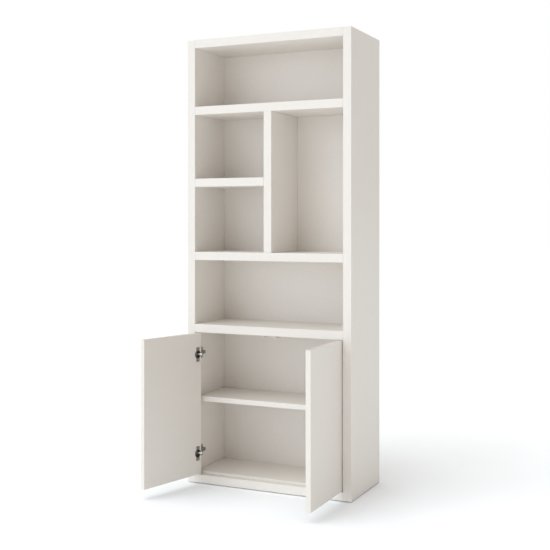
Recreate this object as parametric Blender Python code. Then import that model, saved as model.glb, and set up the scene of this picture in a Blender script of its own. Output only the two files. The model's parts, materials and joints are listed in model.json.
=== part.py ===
"""White open-shelf bookcase with a two-door cupboard, all sizes in metres, +Z up.

The origin is on the floor at the middle of the case's footprint, +X is the viewer's
right, and the front faces -Y. Both doors stand open at rest.
"""
import math

import bmesh
import bpy
from mathutils import Vector

# Driving dimensions of the case
WIDTH = 0.790
DEPTH = 0.360
BOARD = 0.037
GLIDE_HEIGHT = 0.003
GLIDE_RADIUS = 0.0135
GLIDE_INSET = 0.030
BAY_HEIGHTS = {"cupboard": 0.641, "counter": 0.289, "low": 0.293, "high": 0.288, "top": 0.264}
SHELF_DEPTH = 0.283
BACK_THICKNESS = 0.016
DIVIDER_OFFSET = 0.005
HOUSING = 0.008
TONGUE_MARGIN = 0.006
TONGUE_STOP = 0.014
GAP = 0.0003
OVERCUT = 0.010
EDGE_ROUND = 0.0012
FINE_ROUND = 0.0008

# Inset doors
DOOR_THICKNESS = 0.022
DOOR_GAP = 0.003
LEFT_OPEN = math.radians(103.5)
RIGHT_OPEN = math.radians(90.5)

# Cupboard fittings
FLOOR_BOARD = 0.012
STOP_SETBACK = 0.025
LOOSE_SHELF = 0.022
LOOSE_SHELF_Z = 0.367
LOOSE_SHELF_SETBACK = 0.026
LOOSE_SHELF_PLAY = 0.001
PIN_RADIUS = 0.0025
PIN_LENGTH = 0.020
PIN_DEPTH = 0.011
PIN_PLACES = {"front": 0.066, "rear": SHELF_DEPTH - 0.045}

# Cup hinges, measured from the stile's inner face (x) and the front plane (y)
DOOR_PIVOT = (0.010, 0.005)
ARM_PIN = (0.0065, 0.0269)
HINGE_INSET = 0.095
CUP_RADIUS = 0.0175
CUP_SETBACK = 0.0225
CUP_DEPTH = 0.012
LINK_REACH = 0.0321
LINK_ELBOW = (0.035, 0.0237)
LINK_ROUNDING = 0.26
LINK_CLOSED_ANGLE = math.radians(342.7)
LINK_RATIO = 0.53
LINK_THICKNESS = 0.0015
LINK_WIDTH = 0.008
FLANGE = (0.020, 0.064, 0.0012)
CUP_WALL = 0.0012
CUP_SCREW_OFFSET = 0.024
PLATE_CENTRE_Y = 0.059
PLATE_WING = (0.018, 0.050)
PLATE_BODY = (0.052, 0.0144)
PLATE_WAIST = 0.0115
PLATE_CHAMFER = 0.004
PLATE_THICKNESS = 0.002
PLATE_SCREW_OFFSET = 0.016
ARM_START = 0.0305
ARM_END = 0.088
ARM_RISE = 0.0070
ARM_WIDTH = 0.013
PIN_EYE_RADIUS = 0.0030
ARM_PIN_RADIUS = 0.0013
EYE_BORE_RADIUS = 0.0017
SCREW_SHANK = 0.0016
SCREW_HEAD = 0.0038
SCREW_CROWN = 0.0016
SCREW_BORE = 0.00195
SCREW_DEPTH = 0.011

# Push latches behind the meeting edges of the doors
LATCH_X = 0.028
LATCH_SIZE = (0.011, 0.055, 0.0115)
LATCH_SETBACK = 0.004
PLUNGER_RADIUS = 0.0032
PLUNGER_LENGTH = 0.024
PLUNGER_SPARE = 0.004

# Worked out from the driving dimensions
FRONT = -DEPTH / 2
BACK = DEPTH / 2
OPENING = WIDTH / 2 - BOARD
DOOR_WIDTH = (2 * OPENING - 3 * DOOR_GAP) / 2
BASE_TOP = GLIDE_HEIGHT + BOARD
SHELF_Z = {}
level = BASE_TOP
for bay, height in BAY_HEIGHTS.items():
    level += height
    SHELF_Z[bay] = level
    level += BOARD
HEIGHT = level
DOOR_BOTTOM = BASE_TOP + DOOR_GAP
DOOR_TOP = SHELF_Z["cupboard"] - DOOR_GAP
HINGE_Z = {"lower": DOOR_BOTTOM + HINGE_INSET, "upper": DOOR_TOP - HINGE_INSET}
SIDES = {"left": -1, "right": 1}
OPEN_ANGLE = {"left": LEFT_OPEN, "right": RIGHT_OPEN}


def clear_scene():
    for old in list(bpy.data.objects):
        bpy.data.objects.remove(old, do_unlink=True)


def principled(name, colour, roughness, metallic=0.0):
    material = bpy.data.materials.new(name)
    material.use_nodes = True
    shader = material.node_tree.nodes["Principled BSDF"]
    shader.inputs["Base Color"].default_value = (*colour, 1.0)
    shader.inputs["Roughness"].default_value = roughness
    shader.inputs["Metallic"].default_value = metallic
    return material


def to_object(bm, name, material, location=(0, 0, 0), parent=None):
    """Write a bmesh, whose coordinates are relative to location, to a new object."""
    bmesh.ops.recalc_face_normals(bm, faces=bm.faces)
    mesh = bpy.data.meshes.new(name)
    bm.to_mesh(mesh)
    bm.free()
    mesh.materials.append(material)
    obj = bpy.data.objects.new(name, mesh)
    bpy.context.scene.collection.objects.link(obj)
    obj.location = location
    obj.parent = parent
    return obj


def box(name, low, high, material, parent=None):
    """A plain box between two corners, with its origin at its centre."""
    low, high = Vector(low), Vector(high)
    low, high = [Vector(map(pick, low, high)) for pick in (min, max)]
    bm = bmesh.new()
    bmesh.ops.create_cube(bm, size=1.0)
    bmesh.ops.scale(bm, vec=high - low, verts=bm.verts)
    return to_object(bm, name, material, (low + high) / 2, parent)


def prism(name, outline, bottom, top, material, location=(0, 0, 0), parent=None):
    """An outline in the XY plane, extruded from bottom to top along Z."""
    bm = bmesh.new()
    face = bm.faces.new([bm.verts.new((x, y, bottom)) for x, y in outline])
    grown = bmesh.ops.extrude_face_region(bm, geom=[face])
    risen = [item for item in grown["geom"] if isinstance(item, bmesh.types.BMVert)]
    bmesh.ops.translate(bm, vec=(0, 0, top - bottom), verts=risen)
    return to_object(bm, name, material, location, parent)


def turned(name, profile, direction, sides, material, location=(0, 0, 0), parent=None):
    """A solid of revolution from (distance, radius) pairs along direction."""
    bm = bmesh.new()
    rings = []
    for distance, radius in profile:
        if radius == 0:
            rings.append([bm.verts.new((0, 0, distance))])
            continue
        angles = [2 * math.pi * k / sides for k in range(sides)]
        rings.append([bm.verts.new((radius * math.cos(a), radius * math.sin(a), distance)) for a in angles])
    for ring, following in zip(rings, rings[1:]):
        for k in range(sides):
            after = k + 1
            corners = [ring[k % len(ring)], ring[after % len(ring)],
                       following[after % len(following)], following[k % len(following)]]
            bm.faces.new(list(dict.fromkeys(corners)))
    for end in (rings[0], rings[-1]):
        if len(end) > 1:
            bm.faces.new(end)
    turn = Vector((0, 0, 1)).rotation_difference(Vector(direction)).to_matrix()
    bmesh.ops.rotate(bm, cent=(0, 0, 0), matrix=turn, verts=bm.verts)
    obj = to_object(bm, name, material, location, parent)
    obj.data.shade_smooth()
    obj.data.set_sharp_from_angle(angle=math.radians(35))
    return obj


def rod(name, start, length, radius, direction, sides, material, parent=None):
    """A plain round bar from start along direction."""
    return turned(name, [(0, radius), (length, radius)], direction, sides, material, start, parent)


def round_edges(obj, width=EDGE_ROUND, segments=2):
    bevel = obj.modifiers.new("Bevel", "BEVEL")
    bevel.width = width
    bevel.segments = segments
    bevel.limit_method = "ANGLE"
    bevel.angle_limit = math.radians(40)
    return obj


def combine(obj, tool, operation):
    """Cut or join obj with tool, which stays as a hidden guide."""
    tool.hide_render = True
    tool.display_type = "WIRE"
    boolean = obj.modifiers.new(operation.title(), "BOOLEAN")
    boolean.operation = operation
    boolean.object = tool
    return obj


def empty(name, location, turn_z=0.0):
    guide = bpy.data.objects.new(name, None)
    bpy.context.scene.collection.objects.link(guide)
    guide.location = location
    guide.rotation_euler.z = turn_z
    return guide


def hinge_side(side, x, y, z=0.0):
    """A point given from the stile's inner face and the front plane, in the case's frame."""
    return Vector((SIDES[side] * (OPENING - x), FRONT + y, z))


def from_pivot(side, pivot, x, y, z=0.0):
    """The same point relative to a pivot, for a piece that turns about it."""
    return Vector((-SIDES[side] * (x - pivot[0]), y - pivot[1], z))


def tongue(name, low, high, run, white, clearance=0.0):
    """A joint's tongue between two corners, thinner than its board and stopped short of both edges."""
    low, high = Vector(low), Vector(high)
    across = 2 if run == 0 else 0
    low[across] += TONGUE_MARGIN - clearance
    high[across] -= TONGUE_MARGIN - clearance
    low.y += TONGUE_STOP - clearance
    high.y -= TONGUE_STOP - clearance
    low[run] -= HOUSING + clearance
    high[run] += HOUSING + clearance
    return box(name, low, high, white)


def tongued_board(name, low, high, run, white):
    """A board with a tongue on each end, along X where run is 0 and along Z where it is 2."""
    board = round_edges(box(name, low, high, white))
    return combine(board, tongue(f"join_{name}", low, high, run, white), "UNION")


def housing(host, label, low, high, run, white):
    """The groove that a board's tongue needs in its neighbour."""
    cutter = tongue(f"cut_{host.name}_{label}", low, high, run, white, GAP)
    combine(host, cutter, "DIFFERENCE")


def side_panels(white):
    """Full-height sides, grooved for the back panel."""
    panels = {}
    for side, sign in SIDES.items():
        inner, outer = sign * OPENING, sign * WIDTH / 2
        panel = box(f"side_panel_{side}", (inner, FRONT, GLIDE_HEIGHT), (outer, BACK, HEIGHT), white)
        round_edges(panel)
        rear = FRONT + SHELF_DEPTH + BACK_THICKNESS + GAP
        low = (inner - sign * GAP, FRONT + SHELF_DEPTH - GAP, BASE_TOP - HOUSING)
        high = (inner + sign * (HOUSING + GAP), rear, HEIGHT - BOARD + HOUSING)
        combine(panel, box(f"cut_{side}_back", low, high, white), "DIFFERENCE")
        panels[side] = panel
    return panels


def top_and_base(white):
    """The top and base boards between the sides, grooved for the back panel."""
    span = OPENING - GAP
    top = HEIGHT - BOARD
    grooves = {"base_panel": (GLIDE_HEIGHT, BASE_TOP - HOUSING, BASE_TOP + GAP),
               "top_panel": (top, top - GAP, top + HOUSING)}
    for name, (low, groove_low, groove_high) in grooves.items():
        board = round_edges(box(name, (-span, FRONT, low), (span, BACK, low + BOARD), white))
        front = FRONT + SHELF_DEPTH - GAP
        rear = FRONT + SHELF_DEPTH + BACK_THICKNESS + GAP
        groove = box(f"cut_{name}", (-WIDTH, front, groove_low), (WIDTH, rear, groove_high), white)
        combine(board, groove, "DIFFERENCE")


def fixed_shelves(white, panels):
    """Three full-width shelves, tongued into the sides."""
    shelves = {}
    span, rear = OPENING - GAP, FRONT + SHELF_DEPTH - 2 * GAP
    full_width = {"shelf_counter": "cupboard", "shelf_middle": "counter", "shelf_top_bay": "high"}
    for name, bay in full_width.items():
        low, high = (-span, FRONT, SHELF_Z[bay]), (span, rear, SHELF_Z[bay] + BOARD)
        shelves[name] = tongued_board(name, low, high, 0, white)
        for panel in panels.values():
            housing(panel, name, low, high, 0, white)
    return shelves


def divider_and_left_shelf(white, shelves, left_panel):
    """The upright between two full shelves, and the short shelf that it carries."""
    left, right = DIVIDER_OFFSET - BOARD / 2, DIVIDER_OFFSET + BOARD / 2
    rear = FRONT + SHELF_DEPTH - 2 * GAP
    low = (left, FRONT, SHELF_Z["counter"] + BOARD + GAP)
    high = (right, rear, SHELF_Z["high"] - GAP)
    divider = tongued_board("divider_upright", low, high, 2, white)
    for name in ("shelf_middle", "shelf_top_bay"):
        housing(shelves[name], "divider", low, high, 2, white)
    low = (-OPENING + GAP, FRONT, SHELF_Z["low"])
    high = (left - GAP, rear, SHELF_Z["low"] + BOARD)
    tongued_board("shelf_left_bay", low, high, 0, white)
    for host in (divider, left_panel):
        housing(host, "left_shelf", low, high, 0, white)


def back_and_floor(white):
    """The back panel in its grooves, and the cupboard floor whose front edge stops the doors."""
    reach = OPENING + HOUSING
    front = FRONT + SHELF_DEPTH
    low = (-reach, front, BASE_TOP - HOUSING + GAP)
    high = (reach, front + BACK_THICKNESS, HEIGHT - BOARD + HOUSING - GAP)
    box("back_panel", low, high, white)
    low = (-OPENING + GAP, FRONT + STOP_SETBACK, BASE_TOP + GAP)
    high = (OPENING - GAP, front - GAP, BASE_TOP + FLOOR_BOARD)
    round_edges(box("cupboard_floor", low, high, white), FINE_ROUND)


def loose_shelf(white, steel, panels):
    """The loose shelf on four steel pins pushed into the sides."""
    reach = OPENING - LOOSE_SHELF_PLAY
    rear = FRONT + SHELF_DEPTH - 2 * LOOSE_SHELF_PLAY
    low = (-reach, FRONT + LOOSE_SHELF_SETBACK, LOOSE_SHELF_Z)
    high = (reach, rear, LOOSE_SHELF_Z + LOOSE_SHELF)
    round_edges(box("cupboard_shelf", low, high, white), FINE_ROUND)
    height = LOOSE_SHELF_Z - PIN_RADIUS - GAP
    for side, sign in SIDES.items():
        for place, y in PIN_PLACES.items():
            start = hinge_side(side, -PIN_DEPTH, y, height)
            inward = (-sign, 0, 0)
            rod(f"shelf_pin_{side}_{place}", start, PIN_LENGTH, PIN_RADIUS, inward, 12, steel)
            bore_start = hinge_side(side, -PIN_DEPTH - GAP, y, height)
            bore_name = f"cut_pin_{side}_{place}"
            bore = rod(bore_name, bore_start, PIN_LENGTH, PIN_RADIUS + GAP, inward, 12, steel)
            combine(panels[side], bore, "DIFFERENCE")


def floor_glides(plastic):
    for side, sign in SIDES.items():
        for place, y in (("front", FRONT + GLIDE_INSET), ("rear", BACK - GLIDE_INSET)):
            profile = [(0, GLIDE_RADIUS - FINE_ROUND), (FINE_ROUND, GLIDE_RADIUS),
                       (GLIDE_HEIGHT - GAP, GLIDE_RADIUS)]
            spot = (sign * (WIDTH - BOARD) / 2, y, 0)
            turned(f"floor_glide_{side}_{place}", profile, (0, 0, 1), 20, plastic, spot)


def door(side, white, pivot_empty):
    """A slab door, made closed and carried by the empty on its pivot axis."""
    low = from_pivot(side, DOOR_PIVOT, DOOR_GAP, 0, DOOR_BOTTOM)
    high = from_pivot(side, DOOR_PIVOT, DOOR_GAP + DOOR_WIDTH, DOOR_THICKNESS, DOOR_TOP)
    return round_edges(box(f"door_{side}", low, high, white, pivot_empty))


def screw(name, seat, direction, steel, parent=None):
    """A pan-head screw, its head's underside at seat and its shank along direction."""
    profile = [(-SCREW_CROWN, SCREW_HEAD * 0.55), (-SCREW_CROWN * 0.7, SCREW_HEAD * 0.85), (0, SCREW_HEAD),
               (0, SCREW_SHANK), (SCREW_DEPTH, SCREW_SHANK), (SCREW_DEPTH + SCREW_SHANK, 0)]
    return turned(name, profile, direction, 12, steel, seat, parent)


def screw_bore(name, seat, direction, host, steel, parent=None):
    """A hole along a screw's shank, cut through host."""
    start = Vector(seat) - Vector(direction) * SCREW_SHANK
    bore = rod(name, start, SCREW_DEPTH + 3 * SCREW_SHANK, SCREW_BORE, direction, 12, steel, parent)
    combine(host, bore, "DIFFERENCE")


def hinge_cup(side, place, z, door_panel, steel, pivot_empty):
    """The cup let into the door, its flange on the inner face, and the flange's screws."""
    x = DOOR_GAP + CUP_SETBACK
    face = DOOR_THICKNESS
    outward = Vector((0, 1, 0))
    bore = rod(f"cut_cup_{side}_{place}", from_pivot(side, DOOR_PIVOT, x, face - CUP_DEPTH, z),
               CUP_DEPTH + OVERCUT, CUP_RADIUS, outward, 40, steel, pivot_empty)
    combine(door_panel, bore, "DIFFERENCE")
    bowl = face - CUP_DEPTH + GAP
    flange_top = face + GAP + FLANGE[2]
    seat_height, rim = face + GAP - bowl, flange_top - bowl
    hollow = CUP_RADIUS - GAP - CUP_WALL
    profile = [(0, 0), (0, CUP_RADIUS - CUP_WALL), (CUP_WALL * 0.6, CUP_RADIUS - GAP),
               (seat_height, CUP_RADIUS - GAP), (seat_height, CUP_RADIUS + CUP_WALL),
               (rim, CUP_RADIUS + CUP_WALL - GAP), (rim, hollow), (CUP_WALL, hollow), (CUP_WALL, 0)]
    cup = turned(f"hinge_cup_{side}_{place}", profile, outward, 40, steel,
                 from_pivot(side, DOOR_PIVOT, x, bowl, z), pivot_empty)
    for way, sign in (("low", -1), ("high", 1)):
        inner, outer = z + sign * (CUP_RADIUS - CUP_WALL / 2), z + sign * FLANGE[1] / 2
        low = from_pivot(side, DOOR_PIVOT, x - FLANGE[0] / 2, face + GAP, inner)
        high = from_pivot(side, DOOR_PIVOT, x + FLANGE[0] / 2, flange_top, outer)
        ear = box(f"join_ear_{side}_{place}_{way}", low, high, steel, pivot_empty)
        round_edges(ear, GAP, 1)
        combine(cup, ear, "UNION")
        seat = from_pivot(side, DOOR_PIVOT, x, flange_top + GAP, z + sign * CUP_SCREW_OFFSET)
        screw(f"cup_screw_{side}_{place}_{way}", seat, (0, -1, 0), steel, pivot_empty)
        for host, label in ((cup, "cup"), (door_panel, "door")):
            bore_name = f"cut_{label}_screw_{side}_{place}_{way}"
            screw_bore(bore_name, seat, (0, -1, 0), host, steel, pivot_empty)


def hinge_plate(side, place, z, panel, steel):
    """The winged mounting plate screwed to the side panel."""
    sign = SIDES[side]
    wing_y, wing_z = PLATE_WING[0] / 2, PLATE_WING[1] / 2
    body_y, body_z = PLATE_BODY[0] / 2, PLATE_BODY[1] / 2
    corner = [(PLATE_WAIST, body_z), (wing_y, wing_z - PLATE_CHAMFER), (wing_y - PLATE_CHAMFER, wing_z)]
    half = [(body_y, -body_z), (body_y, body_z)] + corner
    outline = half + [(-y, rise) for y, rise in reversed(half)]
    outline += [(-y, -rise) for y, rise in corner] + [(y, -rise) for y, rise in reversed(corner)]
    bm = bmesh.new()
    face = bm.faces.new([bm.verts.new((0, y, rise)) for y, rise in outline])
    grown = bmesh.ops.extrude_face_region(bm, geom=[face])
    risen = [item for item in grown["geom"] if isinstance(item, bmesh.types.BMVert)]
    bmesh.ops.translate(bm, vec=(-sign * PLATE_THICKNESS, 0, 0), verts=risen)
    plate = to_object(bm, f"hinge_plate_{side}_{place}", steel, hinge_side(side, GAP, PLATE_CENTRE_Y, z))
    for way, step in (("low", -1), ("high", 1)):
        seat_z = z + step * PLATE_SCREW_OFFSET
        seat = hinge_side(side, PLATE_THICKNESS + 2 * GAP, PLATE_CENTRE_Y, seat_z)
        screw(f"plate_screw_{side}_{place}_{way}", seat, (sign, 0, 0), steel)
        for host, label in ((plate, "plate"), (panel, "side")):
            bore_name = f"cut_{label}_screw_{side}_{place}_{way}"
            screw_bore(bore_name, seat, (sign, 0, 0), host, steel)


def hinge_arm(side, place, z, steel):
    """The arm clipped on the plate, forked at its front around the link's eye, with its pin."""
    base = PLATE_THICKNESS + 2 * GAP
    crown = base + ARM_RISE
    half = ARM_WIDTH / 2
    outline = [(base, ARM_START), (base, ARM_END), (base + ARM_RISE / 2, ARM_END),
               (crown - FINE_ROUND, ARM_END - 0.006), (crown, ARM_END - 0.014), (crown, ARM_START)]
    outline = [tuple(hinge_side(side, x, y)[:2]) for x, y in outline]
    arm = prism(f"hinge_arm_{side}_{place}", outline, z - half, z + half, steel)
    round_edges(arm, FINE_ROUND, 2)
    pin_x, pin_y = ARM_PIN
    root = ARM_START + 0.002
    cheek = [(pin_x - PIN_EYE_RADIUS, root), (pin_x + PIN_EYE_RADIUS, root)]
    steps = 8
    for k in range(steps + 1):
        angle = -math.pi * k / steps
        x = pin_x + PIN_EYE_RADIUS * math.cos(angle)
        cheek.append((x, pin_y + PIN_EYE_RADIUS * math.sin(angle)))
    cheek = [tuple(hinge_side(side, x, y)[:2]) for x, y in cheek]
    outer, inner = half - GAP, LINK_WIDTH / 2 + 2 * GAP
    for way, low, high in (("low", -outer, -inner), ("high", inner, outer)):
        ear = prism(f"join_cheek_{side}_{place}_{way}", cheek, z + low, z + high, steel)
        combine(arm, ear, "UNION")
    reach = outer - GAP
    start = hinge_side(side, pin_x, pin_y, z - reach)
    pin = rod(f"join_pin_{side}_{place}", start, 2 * reach, ARM_PIN_RADIUS, (0, 0, 1), 12, steel)
    combine(arm, pin, "UNION")


def link_centreline():
    """The link's centreline from the arm's pin, round an elbow, to its end in the cup."""
    pin, elbow, end = Vector((0, 0)), Vector(LINK_ELBOW), Vector((LINK_REACH, 0))
    entry = elbow.lerp(pin, LINK_ROUNDING)
    leave = elbow.lerp(end, LINK_ROUNDING)
    points = [pin]
    steps = 6
    for k in range(steps + 1):
        t = k / steps
        points.append(entry.lerp(elbow, t).lerp(elbow.lerp(leave, t), t))
    points.append(end)
    return points


def hinge_link(side, place, z, steel, pin_empty):
    """The curved link: a bent strip with an eye on the arm's pin and a rolled end in the cup."""
    points = link_centreline()
    left, right = [], []
    for k, point in enumerate(points):
        ahead = (points[min(k + 1, len(points) - 1)] - points[max(k - 1, 0)]).normalized()
        normal = Vector((-ahead.y, ahead.x)) * LINK_THICKNESS / 2
        left.append(point + normal)
        right.append(point - normal)
    outline = [turn_closed(side, point) for point in left + right[::-1]]
    half = LINK_WIDTH / 2
    link = prism(f"hinge_link_{side}_{place}", outline, z - half, z + half, steel, parent=pin_empty)
    up = (0, 0, 1)
    eye_name, bore_name = f"join_eye_{side}_{place}", f"cut_eye_{side}_{place}"
    eye = rod(eye_name, (0, 0, z - half), LINK_WIDTH, PIN_EYE_RADIUS, up, 20, steel, pin_empty)
    start = (0, 0, z - LINK_WIDTH)
    bore = rod(bore_name, start, 2 * LINK_WIDTH, EYE_BORE_RADIUS, up, 16, steel, pin_empty)
    combine(link, eye, "UNION")
    combine(link, bore, "DIFFERENCE")


def turn_closed(side, point):
    """Turn a centreline point to the closed door's link angle, mirrored for the right side."""
    cosine, sine = math.cos(LINK_CLOSED_ANGLE), math.sin(LINK_CLOSED_ANGLE)
    x = point.x * cosine - point.y * sine
    y = point.x * sine + point.y * cosine
    return (-SIDES[side] * x, y)


def push_latch(side, plastic, shelf_underside):
    """The latch under the counter shelf, and its plunger, pushed in to its latched place."""
    sign = SIDES[side]
    width, length, height = LATCH_SIZE
    x = sign * LATCH_X
    front = FRONT + DOOR_THICKNESS + LATCH_SETBACK
    top = shelf_underside - GAP
    low = (x - width / 2, front, top - height)
    high = (x + width / 2, front + length, top)
    body = round_edges(box(f"push_latch_{side}", low, high, plastic), FINE_ROUND, 2)
    axis_z = top - height / 2
    start = (x, FRONT + DOOR_THICKNESS, axis_z)
    bore_length = PLUNGER_LENGTH + LATCH_SETBACK + PLUNGER_SPARE
    bore = rod(f"cut_latch_{side}", start, bore_length, PLUNGER_RADIUS + GAP, (0, 1, 0), 24, plastic)
    combine(body, bore, "DIFFERENCE")
    tip = (x, FRONT + DOOR_THICKNESS + GAP, axis_z)
    profile = [(0, PLUNGER_RADIUS - FINE_ROUND), (FINE_ROUND, PLUNGER_RADIUS),
               (PLUNGER_LENGTH, PLUNGER_RADIUS)]
    turned(f"latch_plunger_{side}", profile, (0, 1, 0), 24, plastic, tip)


def build():
    clear_scene()
    white = principled("white_lacquer", (0.86, 0.84, 0.81), 0.42)
    steel = principled("nickel_steel", (0.36, 0.34, 0.31), 0.28, 1.0)
    grey = principled("grey_plastic", (0.55, 0.55, 0.54), 0.5)
    pale = principled("white_plastic", (0.80, 0.79, 0.77), 0.5)
    panels = side_panels(white)
    top_and_base(white)
    shelves = fixed_shelves(white, panels)
    divider_and_left_shelf(white, shelves, panels["left"])
    back_and_floor(white)
    loose_shelf(white, steel, panels)
    floor_glides(grey)
    for side, sign in SIDES.items():
        door_turn = sign * OPEN_ANGLE[side]
        door_pivot = empty(f"door_pivot_{side}", hinge_side(side, *DOOR_PIVOT), door_turn)
        link_turn = sign * LINK_RATIO * OPEN_ANGLE[side]
        link_pivot = empty(f"link_pivot_{side}", hinge_side(side, *ARM_PIN), link_turn)
        panel = door(side, white, door_pivot)
        for place, z in HINGE_Z.items():
            hinge_cup(side, place, z, panel, steel, door_pivot)
            hinge_plate(side, place, z, panels[side], steel)
            hinge_arm(side, place, z, steel)
            hinge_link(side, place, z, steel, link_pivot)
        push_latch(side, pale, SHELF_Z["cupboard"])


build()
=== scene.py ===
import json
import math

import bmesh
import bpy
from mathutils import Matrix, Vector

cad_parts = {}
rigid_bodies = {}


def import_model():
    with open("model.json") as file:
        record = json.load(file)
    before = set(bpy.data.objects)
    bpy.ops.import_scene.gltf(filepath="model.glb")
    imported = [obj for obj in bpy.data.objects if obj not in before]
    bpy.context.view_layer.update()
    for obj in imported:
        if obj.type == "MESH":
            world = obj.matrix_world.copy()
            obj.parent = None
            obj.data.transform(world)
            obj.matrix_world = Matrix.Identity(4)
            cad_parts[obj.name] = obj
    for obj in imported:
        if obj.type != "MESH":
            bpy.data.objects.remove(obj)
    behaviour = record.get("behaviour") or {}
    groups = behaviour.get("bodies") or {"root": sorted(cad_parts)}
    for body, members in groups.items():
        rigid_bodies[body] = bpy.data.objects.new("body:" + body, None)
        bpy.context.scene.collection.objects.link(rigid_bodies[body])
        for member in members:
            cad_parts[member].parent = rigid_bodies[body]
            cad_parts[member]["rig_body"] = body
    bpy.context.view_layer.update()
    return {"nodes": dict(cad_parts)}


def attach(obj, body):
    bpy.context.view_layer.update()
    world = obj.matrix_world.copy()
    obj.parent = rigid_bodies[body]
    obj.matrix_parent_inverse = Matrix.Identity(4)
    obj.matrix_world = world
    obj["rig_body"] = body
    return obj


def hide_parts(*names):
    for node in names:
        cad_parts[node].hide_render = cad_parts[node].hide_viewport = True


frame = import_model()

MM = 0.001

# Paint tones, each a light and a dark end of a faint drift
CASE_TONES = ((0.880, 0.837, 0.789), (0.868, 0.825, 0.775))
BACK_TONES = ((0.884, 0.841, 0.793), (0.872, 0.829, 0.779))
FLOOR_TONES = ((0.829, 0.852, 0.882), (0.815, 0.838, 0.868))
WHITE_PLASTIC_TONES = ((0.84, 0.81, 0.77), (0.80, 0.77, 0.73))
GLIDE_TONES = ((0.30, 0.30, 0.295), (0.25, 0.25, 0.245))

# How strongly the orange peel of each lacquered surface shows
CASE_GRAIN = 0.5
DOOR_GRAIN = 0.7
BACK_GRAIN = 0.35

# Metal tones. The hinge is all one nickel plating: the plate and cup tones are darkened as
# painted shade, the link tone is lightened as painted highlight
PLATE_SHADED_TONE = (0.33, 0.31, 0.28)
CUP_SHADED_TONE = (0.27, 0.255, 0.23)
LINK_HIGHLIGHT_TONE = (0.86, 0.845, 0.82)
SCREW_TONE = (0.62, 0.60, 0.56)

# How the lines in a metal are packed: many times closer along one axis, or evenly
LINES_PACKED_UP = (1, 1, 14)
LINES_PACKED_ACROSS = (14, 1, 1)
LINES_EVEN = (1, 1, 1)

EDGE_HIGHLIGHT_RADIUS = 1.4 * MM     # how far the painted highlight reaches from an edge
EDGE_DOT = 0.80            # turned this far from flat, a point counts as edge
FLAT_DOT = 0.995           # and from here on as flat

# Mix node sockets for colours
MIX_FACTOR, MIX_FIRST, MIX_SECOND, MIX_RESULT = 0, 6, 7, 2

# Pan-head screw
HEAD_RADIUS = 3.75 * MM
HEAD_HEIGHT = 1.6 * MM
HEAD_RIM = 0.35 * MM
DOME_STEPS = 6
SHANK_RADIUS = 1.55 * MM
TAPER_RADIUS = 1.5 * MM
TAPER_DEPTH = 10.9 * MM
SCREW_LENGTH = 12.4 * MM
SCREW_SIDES = 32
RECESS_WIDTH = 0.9 * MM
RECESS_LENGTH = 3.6 * MM
RECESS_DEPTH = 1.1 * MM
RECESS_FLOOR_SCALE = 0.55
RECESS_MOUTH_SCALE = 1.2
RECESS_OVERSHOOT = 0.4     # of the depth, so that the cutter passes through the head's top
SMOOTH_BELOW = math.radians(40)
HEAD_FROM_TIP = 10 * MM    # vertices further than this from the tip belong to the head
TURN_PER_SCREW = 0.6       # radians, so that no two recesses line up

# Studio
FLOOR_HALF_SIZE = 40.0
FLOOR_SEGMENTS = 4
SKY_COLOUR = (1.0, 0.953, 0.894, 1.0)
SKY_STRENGTH = 0.465
BACKDROP_COLOUR = (1.0, 1.0, 1.0, 1.0)
BACKDROP_STRENGTH = 1.0

# Camera, worked out from the case's edges in the photo
SENSOR_WIDTH = 36.0
LENS = 64.24
SHIFT_UP = -0.0944
CAMERA_PLACE = (1.8553, -4.0399, 1.1735)
CAMERA_TILT = math.radians(90)
CAMERA_TURN = math.radians(25.166)


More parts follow.
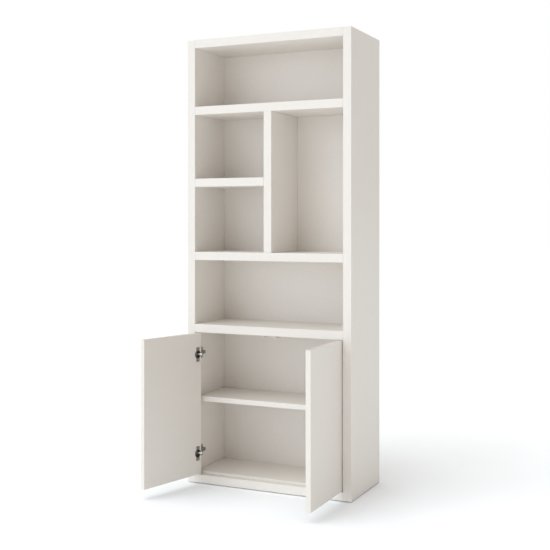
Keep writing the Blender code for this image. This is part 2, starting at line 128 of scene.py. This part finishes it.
# ---------------------------------------------------------------- materials
class Nodes:
    """A short way to build one material's node tree."""

    def __init__(self, name):
        self.material = bpy.data.materials.new(name)
        self.material.use_nodes = True
        self.tree = self.material.node_tree
        self.shader = self.tree.nodes["Principled BSDF"]
        self.place = self.new("ShaderNodeTexCoord").outputs["Object"]

    def new(self, kind, **settings):
        node = self.tree.nodes.new(kind)
        for key, value in settings.items():
            setattr(node, key, value)
        return node

    def join(self, source, target):
        self.tree.links.new(source, target)

    def noise(self, scale, detail=4.0, roughness=0.55, stretch=(1, 1, 1)):
        mapping = self.new("ShaderNodeMapping")
        mapping.inputs["Scale"].default_value = stretch
        self.join(self.place, mapping.inputs["Vector"])
        noise = self.new("ShaderNodeTexNoise")
        noise.inputs["Scale"].default_value = scale
        noise.inputs["Detail"].default_value = detail
        noise.inputs["Roughness"].default_value = roughness
        self.join(mapping.outputs["Vector"], noise.inputs["Vector"])
        return noise.outputs["Fac"]

    def ramp(self, value, stops):
        """A colour for each value, from (position, colour) stops."""
        ramp = self.new("ShaderNodeValToRGB")
        elements = ramp.color_ramp.elements
        for element, (position, colour) in zip(elements, stops):
            element.position = position
            element.color = (*colour, 1.0)
        self.join(value, ramp.inputs["Fac"])
        return ramp.outputs["Color"]

    def spread(self, value, low, high, from_low=0.3, from_high=0.7):
        """Stretch the part of a value between from_low and from_high over low to high."""
        mapped = self.new("ShaderNodeMapRange")
        limits = {"From Min": from_low, "From Max": from_high, "To Min": low, "To Max": high}
        for key, number in limits.items():
            mapped.inputs[key].default_value = number
        self.join(value, mapped.inputs["Value"])
        return mapped.outputs["Result"]

    def multiply(self, first, second):
        mix = self.new("ShaderNodeMix", data_type="RGBA", blend_type="MULTIPLY")
        mix.inputs[MIX_FACTOR].default_value = 1.0
        self.join(first, mix.inputs[MIX_FIRST])
        self.join(second, mix.inputs[MIX_SECOND])
        return mix.outputs[MIX_RESULT]

    def tint(self, amount, first, colour):
        """Move a colour towards a fixed one where amount is high."""
        mix = self.new("ShaderNodeMix", data_type="RGBA", blend_type="MIX")
        self.join(amount, mix.inputs[MIX_FACTOR])
        self.join(first, mix.inputs[MIX_FIRST])
        mix.inputs[MIX_SECOND].default_value = (*colour, 1.0)
        return mix.outputs[MIX_RESULT]

    def bump(self, height, distance, strength, below=None):
        bump = self.new("ShaderNodeBump")
        bump.inputs["Distance"].default_value = distance
        bump.inputs["Strength"].default_value = strength
        self.join(height, bump.inputs["Height"])
        if below is not None:
            self.join(below, bump.inputs["Normal"])
        return bump.outputs["Normal"]

    def edge_highlight_mask(self, radius):
        """0 on flat faces, rising to 1 on the rounded edges, where the lacquer gets a painted
        highlight.
        """
        bevel = self.new("ShaderNodeBevel", samples=6)
        bevel.inputs["Radius"].default_value = radius
        flat = self.new("ShaderNodeNewGeometry").outputs["Normal"]
        dot = self.new("ShaderNodeVectorMath", operation="DOT_PRODUCT")
        self.join(bevel.outputs["Normal"], dot.inputs[0])
        self.join(flat, dot.inputs[1])
        return self.spread(dot.outputs["Value"], 1.0, 0.0, from_low=EDGE_DOT, from_high=FLAT_DOT)

    def finish(self, colour, roughness, normal):
        self.join(colour, self.shader.inputs["Base Color"])
        self.join(roughness, self.shader.inputs["Roughness"])
        self.join(normal, self.shader.inputs["Normal"])
        return self.material


def lacquer(name, tones, grain):
    """Sprayed satin lacquer: faint drift and mottle, fine orange peel, and a painted highlight
    that lightens the edges.
    """
    light, dark = tones
    m = Nodes(name)
    drift = m.ramp(m.noise(scale=2.2, detail=3.0), [(0.30, dark), (0.70, light)])
    mottle_stops = [(0.35, (0.982, 0.981, 0.979)), (0.65, (1.0, 1.0, 1.0))]
    mottle = m.ramp(m.noise(scale=85.0, detail=5.0), mottle_stops)
    colour = m.multiply(drift, mottle)
    # Painted highlight: the colour is lightened towards a brighter white along the rounded edges
    colour = m.tint(m.edge_highlight_mask(EDGE_HIGHLIGHT_RADIUS), colour, [1.03 * channel for channel in light])
    roughness = m.spread(m.noise(scale=14.0, detail=6.0, roughness=0.6), low=0.36, high=0.48)
    peel_noise = m.noise(scale=900.0, detail=2.0)
    peel = m.bump(peel_noise, distance=0.05 * MM, strength=0.10 * grain)
    wave_noise = m.noise(scale=130.0, detail=2.0)
    waves = m.bump(wave_noise, distance=0.12 * MM, strength=0.04 * grain, below=peel)
    m.shader.inputs["Specular IOR Level"].default_value = 0.42
    m.shader.inputs["Coat Weight"].default_value = 0.06
    m.shader.inputs["Coat Roughness"].default_value = 0.22
    return m.finish(colour, roughness, waves)


def nickel(name, tone, packing):
    """Nickel-plated steel with faint lines, dull patches and a slightly uneven tone."""
    m = Nodes(name)
    dark = tuple(0.88 * channel for channel in tone)
    colour = m.ramp(m.noise(scale=220.0), [(0.30, dark), (0.70, tone)])
    lines = m.noise(scale=700.0, detail=3.0, roughness=0.5, stretch=packing)
    roughness = m.spread(m.noise(scale=240.0, detail=5.0), low=0.20, high=0.38)
    m.shader.inputs["Metallic"].default_value = 1.0
    return m.finish(colour, roughness, m.bump(lines, distance=0.03 * MM, strength=0.25))


def moulded(name, tones):
    """Moulded plastic with a fine spark-eroded grain."""
    light, dark = tones
    m = Nodes(name)
    colour = m.ramp(m.noise(scale=60.0), [(0.3, dark), (0.7, light)])
    roughness = m.spread(m.noise(scale=400.0), low=0.46, high=0.62)
    grain = m.noise(scale=2600.0, detail=2.0)
    return m.finish(colour, roughness, m.bump(grain, distance=0.04 * MM, strength=0.35))


def floor_paint(name, tones):
    """The studio floor: near white and very smooth."""
    light, dark = tones
    m = Nodes(name)
    colour = m.ramp(m.noise(scale=1.5, detail=2.0), [(0.3, dark), (0.7, light)])
    roughness = m.spread(m.noise(scale=6.0), low=0.62, high=0.70)
    unevenness = m.noise(scale=40.0)
    return m.finish(colour, roughness, m.bump(unevenness, distance=0.1 * MM, strength=0.05))


WHITE = lacquer("white_lacquer", CASE_TONES, CASE_GRAIN)
DOOR_WHITE = lacquer("door_lacquer", CASE_TONES, DOOR_GRAIN)
BACK_WHITE = lacquer("back_lacquer", BACK_TONES, BACK_GRAIN)
# Hinge plate and cup materials carry painted shade, the link material a painted highlight
NICKEL_PAINTED_SHADE = nickel("nickel_plate_painted_shade", PLATE_SHADED_TONE, LINES_PACKED_UP)
CUP_NICKEL_PAINTED_SHADE = nickel("cup_nickel_painted_shade", CUP_SHADED_TONE, LINES_PACKED_UP)
LINK_NICKEL_PAINTED_HIGHLIGHT = nickel("nickel_painted_highlight", LINK_HIGHLIGHT_TONE, LINES_PACKED_ACROSS)
SCREW_STEEL = nickel("screw_nickel", SCREW_TONE, LINES_EVEN)
WHITE_PLASTIC = moulded("white_plastic", WHITE_PLASTIC_TONES)
GLIDE_PLASTIC = moulded("glide_plastic", GLIDE_TONES)


# ---------------------------------------------------------------- finishes of the CAD nodes
# The first start that a node's name has decides. Every other node is case lacquer.
FINISHES = (
    ("door_", DOOR_WHITE),
    ("back_panel", BACK_WHITE),
    # hinge link: painted highlight; hinge cup and hinge plate: painted shade
    ("hinge_link", LINK_NICKEL_PAINTED_HIGHLIGHT),
    ("hinge_cup", CUP_NICKEL_PAINTED_SHADE),
    ("hinge_", NICKEL_PAINTED_SHADE),
    ("shelf_pin", SCREW_STEEL),
    ("floor_glide", GLIDE_PLASTIC),
    ("push_latch", WHITE_PLASTIC),
    ("latch_plunger", WHITE_PLASTIC),
    ("cup_screw", SCREW_STEEL),
    ("plate_screw", SCREW_STEEL),
)


def finish_for(node):
    for start, material in FINISHES:
        if node.startswith(start):
            return material
    return WHITE


for node, obj in frame["nodes"].items():
    obj.data.materials.clear()
    obj.data.materials.append(finish_for(node))


# ---------------------------------------------------------------- screws with a cross recess
def as_object(bm, name):
    bmesh.ops.recalc_face_normals(bm, faces=bm.faces)
    mesh = bpy.data.meshes.new(name)
    bm.to_mesh(mesh)
    bm.free()
    obj = bpy.data.objects.new(name, mesh)
    bpy.context.scene.collection.objects.link(obj)
    return obj


def lathe(name, profile, sides):
    """A closed solid of revolution about Z from (radius, height) pairs, both ends on the axis."""
    bm = bmesh.new()
    rings = []
    for radius, height in profile:
        count = sides if radius > 0 else 1
        turns = [2 * math.pi * k / sides for k in range(count)]
        ring = [(radius * math.cos(turn), radius * math.sin(turn), height) for turn in turns]
        rings.append([bm.verts.new(point) for point in ring])
    for ring, above in zip(rings, rings[1:]):
        for k in range(sides):
            corners = [ring[k % len(ring)], ring[(k + 1) % len(ring)],
                       above[(k + 1) % len(above)], above[k % len(above)]]
            bm.faces.new(list(dict.fromkeys(corners)))
    return as_object(bm, name)


def cross_cutter(name, width, length, depth, top):
    """A cross-shaped plug that cuts a driver's recess into a head."""
    half, reach = width / 2, length / 2
    quarter = [(reach, -half), (reach, half), (half, half)]
    outline = []
    for _ in range(4):
        outline += quarter
        quarter = [(-y, x) for x, y in quarter]
    floor_level, mouth_level = top - depth, top + depth * RECESS_OVERSHOOT
    bm = bmesh.new()
    low = [bm.verts.new((x * RECESS_FLOOR_SCALE, y * RECESS_FLOOR_SCALE, floor_level))
           for x, y in outline]
    high = [bm.verts.new((x * RECESS_MOUTH_SCALE, y * RECESS_MOUTH_SCALE, mouth_level))
            for x, y in outline]
    bm.faces.new(low)
    bm.faces.new(high)
    for k in range(len(outline)):
        after = (k + 1) % len(outline)
        bm.faces.new((low[k], low[after], high[after], high[k]))
    return as_object(bm, name)


def pan_screw():
    """A pan-head screw along -Z, head up, with its seat at the origin."""
    profile = [(0.0, -SCREW_LENGTH), (TAPER_RADIUS, -TAPER_DEPTH), (SHANK_RADIUS, 0.0),
               (HEAD_RADIUS, 0.0), (HEAD_RADIUS, HEAD_RIM)]
    for k in range(1, DOME_STEPS):
        turn = math.pi / 2 * k / DOME_STEPS
        height = HEAD_RIM + (HEAD_HEIGHT - HEAD_RIM) * math.sin(turn)
        profile.append((HEAD_RADIUS * math.cos(turn), height))
    profile.append((0.0, HEAD_HEIGHT))
    body = lathe("screw_body", profile, SCREW_SIDES)
    cutter = cross_cutter("screw_cross", RECESS_WIDTH, RECESS_LENGTH, RECESS_DEPTH, HEAD_HEIGHT)
    cut = body.modifiers.new("Recess", "BOOLEAN")
    cut.object = cutter
    graph = bpy.context.evaluated_depsgraph_get()
    mesh = bpy.data.meshes.new_from_object(body.evaluated_get(graph))
    mesh.shade_smooth()
    mesh.set_sharp_from_angle(angle=SMOOTH_BELOW)
    for scratch in (body, cutter):
        bpy.data.objects.remove(scratch, do_unlink=True)
    return mesh


def screw_axis(node):
    """The head's direction and seat, from the CAD screw's own vertices."""
    points = [vertex.co for vertex in frame["nodes"][node].data.vertices]
    centre = sum(points, Vector()) / len(points)
    tip = max(points, key=lambda point: (point - centre).length)
    head = [point for point in points if (point - tip).length > HEAD_FROM_TIP]
    outward = (sum(head, Vector()) / len(head) - tip).normalized()
    crown = max(point.dot(outward) for point in points)
    seat = tip + outward * (crown - tip.dot(outward) - HEAD_HEIGHT)
    return outward, seat


def add_screws():
    mesh = pan_screw()
    mesh.materials.append(SCREW_STEEL)
    bpy.context.view_layer.update()
    screws = [node for node in frame["nodes"] if "_screw_" in node]
    for number, node in enumerate(sorted(screws)):
        outward, seat = screw_axis(node)
        obj = bpy.data.objects.new(f"cross_{node}", mesh)
        bpy.context.scene.collection.objects.link(obj)
        lean = Vector((0, 0, 1)).rotation_difference(outward).to_matrix().to_4x4()
        spin = Matrix.Rotation(TURN_PER_SCREW * number, 4, "Z")
        obj.matrix_world = Matrix.Translation(seat) @ lean @ spin
        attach(obj, frame["nodes"][node]["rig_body"])
        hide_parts(node)


add_screws()


# ---------------------------------------------------------------- stage, light and camera
def add_floor():
    bm = bmesh.new()
    bmesh.ops.create_grid(bm, x_segments=FLOOR_SEGMENTS, y_segments=FLOOR_SEGMENTS,
                          size=FLOOR_HALF_SIZE)
    floor = as_object(bm, "studio_floor")
    floor.data.materials.append(floor_paint("floor_paint", FLOOR_TONES))
    return floor


def add_world():
    """A warm even sky that lights the part, and a plain white backdrop that the camera sees."""
    world = bpy.data.worlds.new("studio")
    bpy.context.scene.world = world
    world.use_nodes = True
    tree = world.node_tree
    sky = tree.nodes["Background"]
    sky.inputs["Color"].default_value = SKY_COLOUR
    sky.inputs["Strength"].default_value = SKY_STRENGTH
    seen = tree.nodes.new("ShaderNodeBackground")
    seen.inputs["Color"].default_value = BACKDROP_COLOUR
    seen.inputs["Strength"].default_value = BACKDROP_STRENGTH
    paths = tree.nodes.new("ShaderNodeLightPath")
    mix = tree.nodes.new("ShaderNodeMixShader")
    tree.links.new(paths.outputs["Is Camera Ray"], mix.inputs[0])
    tree.links.new(sky.outputs[0], mix.inputs[1])
    tree.links.new(seen.outputs[0], mix.inputs[2])
    tree.links.new(mix.outputs[0], tree.nodes["World Output"].inputs["Surface"])


def add_sun(name, towards, strength, softness, colour):
    """A sun shining towards a direction, its disc softness degrees across."""
    light = bpy.data.lights.new(name, "SUN")
    light.energy = strength
    light.angle = math.radians(softness)
    light.color = colour
    obj = bpy.data.objects.new(name, light)
    bpy.context.scene.collection.objects.link(obj)
    obj.rotation_mode = "QUATERNION"
    obj.rotation_quaternion = Vector(towards).to_track_quat("-Z", "Y")
    return obj


def light_only(light, receiver):
    """Let a light fall on one object and on nothing else."""
    group = bpy.data.collections.new(f"lit_by_{light.name}")
    group.objects.link(receiver)
    light.light_linking.receiver_collection = group


def add_lights(floor):
    """Light from above and from the front left, and one light that whitens only the floor."""
    add_sun("top_light", towards=(0.35, 0.45, -0.90), strength=0.98, softness=50.0,
            colour=(0.93, 1.0, 1.0))
    add_sun("front_light", towards=(0.50, 0.85, -0.20), strength=0.79, softness=50.0,
            colour=(0.80, 0.88, 1.00))
    floor_light = add_sun("floor_light", towards=(0.08, 0.08, -1.00), strength=1.84,
                          softness=65.0, colour=(1.00, 0.99, 0.98))
    light_only(floor_light, floor)


def add_camera():
    data = bpy.data.cameras.new("camera")
    data.sensor_width = SENSOR_WIDTH
    data.lens = LENS
    data.shift_y = SHIFT_UP
    camera = bpy.data.objects.new("camera", data)
    bpy.context.scene.collection.objects.link(camera)
    camera.location = CAMERA_PLACE
    camera.rotation_euler = (CAMERA_TILT, 0, CAMERA_TURN)
    bpy.context.scene.camera = camera


floor = add_floor()
add_world()
add_lights(floor)
add_camera()
bpy.context.scene.view_settings.view_transform = "Standard"
